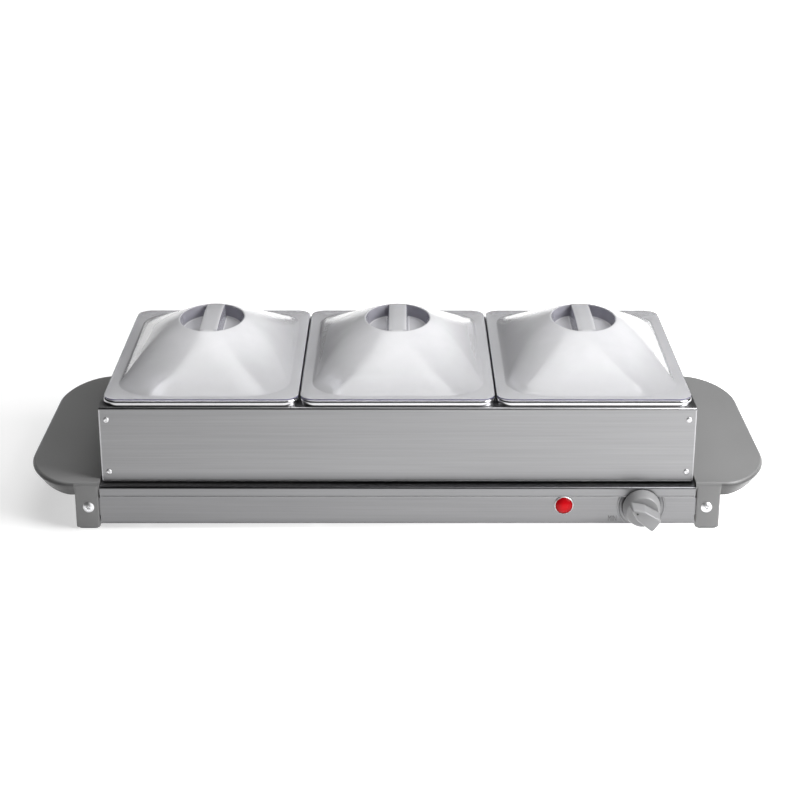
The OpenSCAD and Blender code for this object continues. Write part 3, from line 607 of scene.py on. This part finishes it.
def make_lid(side):
    low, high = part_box(f"lid_{side}")
    cx, cy = (low[0] + high[0]) / 2, (low[1] + high[1]) / 2
    rim_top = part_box(f"pan_{side}")[1][2]
    flange = 1.6 * MM
    base = rim_top + flange
    crest = high[2]
    a, b, corner = (high[0] - low[0]) / 2, (high[1] - low[1]) / 2, 13 * MM
    dome_a, dome_b, dome_r = 74 * MM, 118.5 * MM, 37 * MM
    oval_a, oval_b = 30 * MM, 42 * MM
    oval_z = crest - 1.8 * MM
    floor_z = oval_z - 11 * MM
    half_grip = 7 * MM
    wall = 1.8 * MM

    def rise(s):
        return (1 - (1 - 0.7 * s) ** 1.4) / (1 - 0.3 ** 1.4)

    def dome_ring(s, inset, drop):
        """Outline at share s of the way in: its straight sides shrink to none at the oval."""
        half_a, half_b = dome_a + (oval_a - dome_a) * s, dome_b + (oval_b - dome_b) * s
        straight = (1 - s) ** 2
        return rect_ring(cx, cy, half_a - inset, half_b - inset,
                         half_a - (dome_a - dome_r) * straight - inset,
                         half_b - (dome_b - dome_r) * straight - inset,
                         base + (oval_z - base) * rise(s) - drop)

    def crown(x, y):
        return crest - (crest - oval_z) * ((x / oval_a) ** 2 + (y / oval_b) ** 2)

    def pocket(sign, offset, height):
        """D-shaped outline beside the grip; height is a depth under the crown or a level."""
        ax, by, x0 = oval_a - offset, oval_b - offset, half_grip + offset
        limit = math.acos(x0 / ax)
        points = [(ax * math.cos(t), by * math.sin(t))
                  for t in (-limit + 2 * limit * i / 30 for i in range(31))]
        end = points[-1][1]
        points += [(x0, end - 2 * end * i / 18) for i in range(1, 18)]
        return [Vector((cx + sign * x, cy + y,
                        crown(x, y) - height if height < 10 * MM else height))
                for x, y in points]

    def inner_patch(ring, pockets, extra):
        """Triangles that fill ring, round the constraint loops and through the extra points."""
        points = list(ring)
        edges = [(i, (i + 1) % len(ring)) for i in range(len(ring))]
        for loop in pockets:
            start = len(points)
            points += loop
            edges += [(start + i, start + (i + 1) % len(loop)) for i in range(len(loop))]
        points += extra
        flat = [Vector((p.x, p.y)) for p in points]
        out, _, faces, origins, _, _ = delaunay_2d_cdt(flat, edges, [], 0, 1e-7)
        verts = [points[origins[i][0]] if origins[i] else Vector((*out[i], floor_z))
                 for i in range(len(out))]
        return verts, [tuple(face) for face in faces]

    def side_rings(steps, inset, drop, last):
        return [dome_ring(last * i / steps, inset, drop) for i in range(steps + 1)]

    def ridge_points(offset, depth):
        """Points along the top of the grip, between the pockets."""
        points = []
        for i in range(-9, 10):
            for j in (-1, 0, 1):
                x, y = j * (half_grip + offset) * 0.5, i * oval_b / 10.5
                points.append(Vector((cx + x, cy + y, crown(x, y) - depth)))
        return points

    def floor_points(offset, level):
        points = []
        for sign in (-1, 1):
            for grow in (5, 8):
                points += pocket(sign, offset + grow * MM, level)[::3]
        return points

    top = [
        rect_ring(cx, cy, a, b, corner, corner, rim_top + 0.5 * MM),
        rect_ring(cx, cy, a, b, corner, corner, base - 0.4 * MM),
        rect_ring(cx, cy, a - 0.12 * MM, b - 0.12 * MM, corner, corner, base - 0.12 * MM),
        rect_ring(cx, cy, a - 0.4 * MM, b - 0.4 * MM, corner, corner, base),
        dome_ring(0, -1.6 * MM, 0),
        dome_ring(0, -0.7 * MM, -0.15 * MM),
        dome_ring(0.004, 0, -0.5 * MM),
    ] + side_rings(22, 0, 0, 0.985)[1:] + [dome_ring(1, 0, 0)]
    pockets = []
    for sign in (-1, 1):
        pockets.append(pocket(sign, 0.5 * MM, 0.05 * MM))
        for offset, depth in ((0.75, 0.14), (1.0, 0.42), (1.15, 0.85)):
            pockets.append(pocket(sign, offset * MM, depth * MM))
        for offset, level in ((2.3, 1.7), (2.6, 0.7), (3.2, 0.15), (4.0, 0.0)):
            pockets.append(pocket(sign, offset * MM, floor_z + level * MM))
    upper = merge(skin(top, False, False),
                  inner_patch(top[-1], pockets, ridge_points(0, 0) + floor_points(1 * MM, floor_z)))

    lip = rim_top - 2.4 * MM
    under = [
        rect_ring(cx, cy, a, b, corner, corner, rim_top + 0.5 * MM),
        rect_ring(cx, cy, a - 0.15 * MM, b - 0.15 * MM, corner, corner, rim_top + 0.15 * MM),
        rect_ring(cx, cy, a - 0.5 * MM, b - 0.5 * MM, corner, corner, rim_top + 0.02 * MM),
        dome_ring(0, 1.4 * MM, base - rim_top - 0.02 * MM),
        dome_ring(0, 1.6 * MM, base - rim_top + 0.3 * MM),
        dome_ring(0, 1.65 * MM, base - lip - 0.3 * MM),
        dome_ring(0, 1.9 * MM, base - lip),
        dome_ring(0, 2.7 * MM, base - lip),
        dome_ring(0, 3.0 * MM, base - lip - 0.3 * MM),
        dome_ring(0, 2.9 * MM, base - rim_top + 0.6 * MM),
        dome_ring(0, 2.6 * MM, base - rim_top - 0.4 * MM),
    ] + side_rings(20, wall * 0.6, wall * 0.9, 0.9)[2:] + [dome_ring(0.93, wall * 0.4, wall)]
    hollows = []
    for sign in (-1, 1):
        hollows.append(pocket(sign, -0.9 * MM, 1.9 * MM))
        hollows.append(pocket(sign, -0.5 * MM, 2.5 * MM))
        for offset, level in ((0.7, -0.2), (1.1, -1.1), (1.9, -1.7), (2.8, -1.8)):
            hollows.append(pocket(sign, offset * MM, floor_z + level * MM))
    lower = merge(skin(under, False, False),
                  inner_patch(under[-1], hollows,
                              ridge_points(-2 * MM, 1.85 * MM)
                              + floor_points(0.2 * MM, floor_z - wall)))
    name = f"lid_{side}"
    piece(f"{name}_moulded", *merge(upper, lower), body=name, slot="clear_lid", replaced=[name],
          sharp=50)


# ------------------------------------------------------------------ moulded ends


def make_end_cap(side):
    sign = -1 if side == "left" else 1
    low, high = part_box(f"{side}_end_cap")
    outer = max(abs(low[0]), abs(high[0]))
    inner = min(abs(low[0]), abs(high[0]))
    cy, half = (low[1] + high[1]) / 2, (high[1] - low[1]) / 2
    top = high[2]
    corner_x, corner_y = 43 * MM, 70 * MM
    draft, wall, edge = 3.2 * MM, 2.5 * MM, 2.2 * MM
    leg_x, leg_w, leg_d = inner + 1 * MM, 20.5 * MM, 26 * MM
    foot_z, leg_foot = top - SKIRT, 1 * MM
    skirt_top = top - 1.5 * edge
    skirt_fall = SKIRT - 1.5 * edge - 0.8 * MM

    def outline(inset, z, power=1.8):
        quarter = []
        for i in range(21):
            t = math.radians(90 * i / 20)
            quarter.append((outer - corner_x + (corner_x - inset) * math.cos(t) ** (2 / power),
                            half - corner_y + (corner_y - inset) * math.sin(t) ** (2 / power)))
        points = [(inner, -half + inset)] + [(x, -y) for x, y in reversed(quarter)] + quarter
        points.append((inner, half - inset))
        return [Vector((x, cy + y, z)) for x, y in points]

    rings = []
    for across, down in ((1.12, 0), (1, 0.02), (0.9, 0.07), (0.7, 0.22), (0.45, 0.45), (0.2, 0.85),
                         (0.05, 1.2), (0, 1.5)):
        rings.append(outline(edge * across, top - edge * down))
    rings += [outline(draft * s, skirt_top - skirt_fall * s, 1.8 - 0.3 * s)
              for s in (0.25, 0.5, 0.75, 1)]
    rings += [outline(draft + i * MM, foot_z + z * MM, 1.5)
              for i, z in ((0.2, 0.3), (0.7, 0), (2.0, 0), (2.4, 0.4))]
    rings += [outline(wall + 0.9 * MM, top - 4.4 * MM), outline(wall + 1.9 * MM, top - wall)]

    def leg(end):
        y_mid = cy + end * (half - leg_d / 2)
        x_mid = leg_x + leg_w / 2
        a, b, r = leg_w / 2, leg_d / 2, 1.6 * MM
        shape = [(0.9 * MM, leg_foot), (0.3 * MM, leg_foot + 0.3 * MM), (0, leg_foot + 0.9 * MM),
                 (0, top - 3.6 * MM)]
        return skin([rect_ring(x_mid, y_mid, a - i, b - i, r, r, z, 5) for i, z in shape])

    steps = [("UNION", leg(-1)), ("UNION", leg(1)),
             ("UNION", box_part((inner, cy - half + leg_d, low[2] + 3.6 * MM),
                                (inner + wall, cy + half - leg_d, top - wall + 0.2 * MM)))]
    for y in (-76, 76):
        steps.append(("UNION", box_part((inner + 0.1 * MM, cy + y * MM - MM, foot_z + 1 * MM),
                                        (outer - 3 * wall, cy + y * MM + MM,
                                         top - wall + 0.2 * MM))))
    made = combine(f"{side}_end_moulding", skin(rings), steps)
    if sign < 0:
        made.data.transform(Matrix.Scale(-1, 4, (1, 0, 0)))
        made.data.flip_normals()
    dress(made, "base", "grey_moulding", [f"{side}_end_cap"], 38)


# ------------------------------------------------------------------ fasteners and trim


def cross_head(place, r, h):
    """Domed screw head with a cross recess, as boolean steps on a lathe part."""
    ball = (r * r + h * h) / (2 * h)
    profile = [(0, -0.6 * MM), (r * 0.55, -0.6 * MM), (r * 0.55, 0), (r * 0.96, 0), (r, 0.15 * MM)]
    for i in range(1, 9):
        x = r * (1 - i / 8)
        profile.append((x, h - ball + math.sqrt(ball * ball - x * x)))
    head = lathe(profile, place, 40)
    cuts = []
    for turn in (0, 90):
        spin = place @ Matrix.Rotation(math.radians(turn), 4, "Z")
        wide, deep, narrow = r * 0.56, h * 0.95, r * 0.13
        shape = [(wide, narrow, h + 0.3 * MM), (wide * 0.35, narrow * 0.6, h - deep)]
        cuts.append(("DIFFERENCE", skin([
            [spin @ Vector((sx * x, sy * y, z)) for sx, sy in ((1, 1), (-1, 1), (-1, -1), (1, -1))]
            for x, y, z in reversed(shape)])))
    return head, cuts


def make_leg_screws():
    low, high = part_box("end_cap_screws")
    r, h = 4.8 * MM, 2.2 * MM
    x, z = high[0] - r, (low[2] + high[2]) / 2
    front_y, back_y = low[1] + h, high[1] - h
    index = 0
    for sx in (-1, 1):
        for y, tip in ((front_y, 90), (back_y, -90)):
            index += 1
            place = (Matrix.Translation((sx * x, y, z)) @ Matrix.Rotation(math.radians(tip), 4, "X")
                     @ Matrix.Rotation(math.radians(25 + 37 * index), 4, "Z"))
            head, cuts = cross_head(place, r, h)
            made = combine(f"leg_screw_{index}", head, cuts)
            dress(made, "base", "plated_screw", ["end_cap_screws"], 40)


def make_rivets():
    low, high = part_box("frame_rivets")
    r, h = 2.5 * MM, 1.1 * MM
    x = high[0] - r
    index = 0
    for sx in (-1, 1):
        for y, tip in ((low[1] + h, 90), (high[1] - h, -90)):
            for z in (low[2] + r, high[2] - r):
                index += 1
                place = Matrix.Translation((sx * x, y, z)) @ Matrix.Rotation(
                    math.radians(tip), 4, "X")
                profile = [(0, -1.5 * MM), (1.6 * MM, -1.5 * MM), (1.6 * MM, 0), (r * 0.97, 0),
                           (r, 0.12 * MM), (r * 0.96, 0.4 * MM), (r * 0.82, 0.72 * MM),
                           (r * 0.6, 0.96 * MM), (r * 0.42, h), (r * 0.34, h - 0.08 * MM),
                           (r * 0.3, h - 0.28 * MM), (0, h - 0.3 * MM)]
                piece(f"rivet_{index}", *lathe(profile, place, 32), body="tray_frame",
                      slot="plain_steel", replaced=["frame_rivets"], sharp=45)


def make_lamp():
    low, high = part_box("indicator_lens")
    x, z = (low[0] + high[0]) / 2, (low[2] + high[2]) / 2
    place = on_front(x, z)
    r, rise = 7.35 * MM, 3.3 * MM
    ball = (r * r + rise * rise) / (2 * rise)
    lens = [(4.4 * MM, -9 * MM), (6 * MM, -9 * MM), (6 * MM, 0.2 * MM), (r, 0.2 * MM), (r, 1 * MM)]
    for i in range(1, 13):
        x_r = r * (1 - i / 12)
        lens.append((x_r, 1 * MM + rise - ball + math.sqrt(ball * ball - x_r * x_r)))
    lens += [(0, 1.5 * MM), (4.4 * MM, 1.5 * MM)]
    piece("lamp_lens", *skin(turned(lens, place, 48), loop=True), body="base", slot="red_lens",
          replaced=["indicator_lens"], sharp=40)
    bezel = [(7.45, 0), (7.45, 1.2), (7.6, 1.45), (7.9, 1.5), (8.15, 1.25), (8.3, 0.7), (8.3, 0)]
    bezel = [(p * MM, h * MM) for p, h in bezel]
    piece("lamp_bezel", *skin(turned(bezel, place, 56), loop=True), body="base", slot="plated_screw",
          replaced=["indicator_bezel"], sharp=50)


def make_dial():
    """Pressed ring round the knob, cut off level above and below like the panel face."""
    low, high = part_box("dial_plate")
    knob_at = frame_joint("knob_turn")["pos_m"]
    place = on_front(knob_at[0], knob_at[2])
    r = (high[0] - low[0]) / 2
    profile = [(5.4 * MM, 0), (5.4 * MM, 0.45 * MM), (5.6 * MM, 0.6 * MM), (r - 2.4 * MM, 0.6 * MM),
               (r - 1.9 * MM, 0.75 * MM), (r - 1.4 * MM, 1.05 * MM), (r - 0.9 * MM, 1.15 * MM),
               (r - 0.4 * MM, 1.0 * MM), (r - 0.1 * MM, 0.6 * MM), (r, 0)]
    ring = skin(turned(profile, place, 96), loop=True)
    keep = box_part((low[0] - MM, low[1] - 2 * MM, low[2]), (high[0] + MM, high[1] + MM, high[2]))
    made = combine("dial_ring", ring, [("INTERSECT", keep)])
    dress(made, "base", "dial_steel", ["dial_plate"], 40)


def make_hems():
    """Rounded hems along the lower edges of the frame's walls, the plate's flanges and the panels, in a lighter
    steel as painted highlight.
    """
    base_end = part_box("warming_plate")[1][0]
    walls = (("frame", "tray_frame", "tray_frame", "tray_frame", 0),
             ("flange", "warming_plate", "warming_plate", "base", 1 * MM),
             ("panel", "front_panel", "rear_panel", "base", 0))
    radius, proud = 0.5 * MM, 0.25 * MM
    for label, front, rear, body, drop in walls:
        low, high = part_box(front)
        half_x = min(high[0], base_end) - 1.5 * MM
        for side, y, inward in (("front", low[1], 1), ("rear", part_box(rear)[1][1], -1)):
            bead = arc(0, low[2] + radius - drop, radius, -100, 100, 10)
            rings = [[Vector((x, y - inward * (out - radius + proud), z)) for out, z in bead]
                     for x in (-half_x, half_x)]
            piece(f"{label}_hem_{side}", *skin(rings), body=body, slot="brushed_sheet",
                  sharp=50, finish="hem_highlight_steel")


def make_corner_beads():
    """Rounded sheet ends up the four corners of the tray frame, in a lighter steel as painted highlight."""
    low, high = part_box("tray_frame")
    radius, proud = 0.7 * MM, 0.2 * MM
    index = 0
    for x in (low[0], high[0]):
        for y in (low[1], high[1]):
            index += 1
            cx = x - math.copysign(radius - proud, x)
            cy = y - math.copysign(radius - proud, y - (low[1] + high[1]) / 2)
            rings = [[Vector((px, py, z)) for px, py in arc(cx, cy, radius, 0, 345, 23)]
                     for z in (low[2] + 1.2 * MM, high[2] - 2 * MM)]
            piece(f"frame_corner_{index}", *skin(rings), body="tray_frame", slot="brushed_sheet",
                  sharp=50, finish="hem_highlight_steel")


def grip_outline(half_w, tail, grow, z):
    """Outline of the knob's grip: blunt at one end, narrowed to the pointer at the other."""
    corners = [(tail - 1.6 * MM, 0, 1.6 * MM, -65, 65, 10),
               (3 * MM, half_w - 3.5 * MM, 2.5 * MM, 65, 86, 4),
               (2.5 * MM - tail, half_w - 2.5 * MM, 2.5 * MM, 86, 180, 6),
               (2.5 * MM - tail, 2.5 * MM - half_w, 2.5 * MM, 180, 274, 6),
               (3 * MM, 3.5 * MM - half_w, 2.5 * MM, 274, 295, 4)]
    return [Vector((x, y, z)) for cx, cy, r, start, end, steps in corners
            for x, y in arc(cx, cy, r + grow, start, end, steps)]


def make_knob():
    low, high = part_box("knob")
    at = frame_joint("knob_turn")["pos_m"]
    place = on_front(at[0], at[2], 145)
    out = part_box("front_panel")[0][1] - low[1]
    r, back, disc = 16.25 * MM, 2 * MM, 14 * MM
    face_r = r - 3.2 * MM
    profile = [(0, 6.8 * MM), (6 * MM, 6.8 * MM), (6 * MM, 8 * MM), (r - 3.4 * MM, 8 * MM),
               (r - 2.8 * MM, back), (r - 0.4 * MM, back), (r, back + 0.4 * MM),
               (r, back + 2.8 * MM), (r - 0.1 * MM, back + 3.4 * MM),
               (face_r + 1.1 * MM, disc - 1.6 * MM), (face_r + 0.8 * MM, disc - 0.8 * MM),
               (face_r + 0.2 * MM, disc - 0.1 * MM), (face_r - 0.5 * MM, disc), (0, disc)]
    half_w, tail = 6.5 * MM, r - 3 * MM
    shape = [(1.4, disc - 3 * MM), (1.15, disc + 0.4 * MM), (0.6, disc + 4 * MM),
             (0.1, out - 2 * MM), (-0.2, out - 1.1 * MM), (-0.65, out - 0.35 * MM), (-1.2, out)]
    bar = skin([[place @ v for v in grip_outline(half_w, tail, grow * MM, z)]
                for grow, z in shape])
    made = combine("knob_moulded", lathe(profile, place, 72), [("UNION", bar)])
    dress(made, "knob", "knob_plastic", ["knob"], 38)
    dot = place @ Matrix.Translation((tail - 5.5 * MM, 0, out))
    piece("knob_pointer_dot", *lathe([(0, -0.5 * MM), (0.95 * MM, -0.5 * MM), (0.95 * MM, -0.02 * MM),
                                      (0.8 * MM, 0), (0, 0)], dot, 24),
          body="knob", slot="black_plastic", sharp=40, finish="print_grey")


def make_print():
    """The word MIN beside the lower left of the dial, as a thin printed mark."""
    text = bpy.data.curves.new("dial_mark", "FONT")
    text.body = "MIN"
    text.size = 8.0 * MM
    text.extrude = 0.02 * MM
    text.align_x = "CENTER"
    text.align_y = "CENTER"
    knob_at = frame_joint("knob_turn")["pos_m"]
    mark = bpy.data.objects.new("dial_mark_curve", text)
    bpy.context.collection.objects.link(mark)
    mark.matrix_world = (on_front(knob_at[0] - 24.6 * MM, knob_at[2] - 11.8 * MM)
                         @ Matrix.Diagonal((0.55, 1, 1, 1)))
    bpy.context.view_layer.update()
    graph = bpy.context.evaluated_depsgraph_get()
    mesh = bpy.data.meshes.new_from_object(mark.evaluated_get(graph))
    mesh.transform(mark.matrix_world)
    bpy.data.objects.remove(mark, do_unlink=True)
    made = bpy.data.objects.new("dial_mark", mesh)
    bpy.context.collection.objects.link(made)
    dress(made, "base", "black_plastic", (), 40, "print_grey")


# ------------------------------------------------------------------ carried-over CAD nodes


SHEET_NODES = ("tray_frame", "left_frame_end", "right_frame_end", "warming_plate", "front_panel",
               "rear_panel", "bottom_cover")


def break_edges(node, width):
    """Merges the flat facets of a CAD node and rounds its edges a little, so that they glint."""
    weld = node.modifiers.new("weld", "WELD")
    weld.merge_threshold = 2e-6
    flat = node.modifiers.new("flat", "DECIMATE")
    flat.decimate_type = "DISSOLVE"
    flat.angle_limit = math.radians(0.5)
    bevel = node.modifiers.new("bevel", "BEVEL")
    bevel.width = width
    bevel.segments = 2
    bevel.limit_method = "ANGLE"
    bevel.angle_limit = math.radians(40)
    bevel.harden_normals = True


def finish_cad_nodes():
    """Each CAD node takes the finish of its slot, or the one named for it, and each sheet node also a fine broken
    edge.
    """
    own = {"left_frame_end": "brushed_ends", "right_frame_end": "brushed_ends",
           "warming_plate": "plate_steel", "front_panel": "panel_steel",
           "rear_panel": "panel_steel"}
    for part in frame["record"]["subparts"]:
        node = nodes[part["node"]]
        node.data.materials.clear()
        node.data.materials.append(MATERIALS[own.get(part["node"], part["material_slot"])])
        if part["node"] in SHEET_NODES:
            break_edges(node, 0.25 * MM)


make_camera()
finish_cad_nodes()
for pan_side in SIDES:
    make_pan(pan_side)
    make_lid(pan_side)
for cap_side in ("left", "right"):
    make_end_cap(cap_side)
make_leg_screws()
make_rivets()
make_lamp()
make_dial()
make_hems()
make_corner_beads()
make_knob()
make_print()

# ------------------------------------------------------------------ stage


def make_floor():
    """White paper that glows a little, more to the right and towards the back."""
    corners = [(-1, -1), (1, -1), (1, 1), (-1, 1)]
    verts = [(x * FLOOR_HALF, y * FLOOR_HALF, 0) for x, y in corners]
    floor = mesh_object("floor", verts, [(0, 1, 2, 3)])
    paper = Finish("floor_paper", (0.50, 0.50, 0.50), 0.85)
    paper.vary_color(paper.noise(3.0, 2.0), 0.99, 1.01)
    paper.shader.inputs["Emission Color"].default_value = (1, 1, 1, 1)
    glows = [ranged(paper.tree, paper.along(axis), spans) for axis, spans in FLOOR_SPANS.items()]
    paper.link(paper.math("ADD", *glows), paper.shader.inputs["Emission Strength"])
    floor.data.materials.append(paper.material)


make_floor()
make_world()
area_light("key_right", (1.7, -0.5, 1.45), (0.1, 0, 0.05), (1.4, 1.2), 62)
area_light("top_box", (0.2, 0.4, 2.0), (0, 0, 0), (2.2, 1.4), 32)
bpy.context.scene.view_settings.view_transform = "Standard"
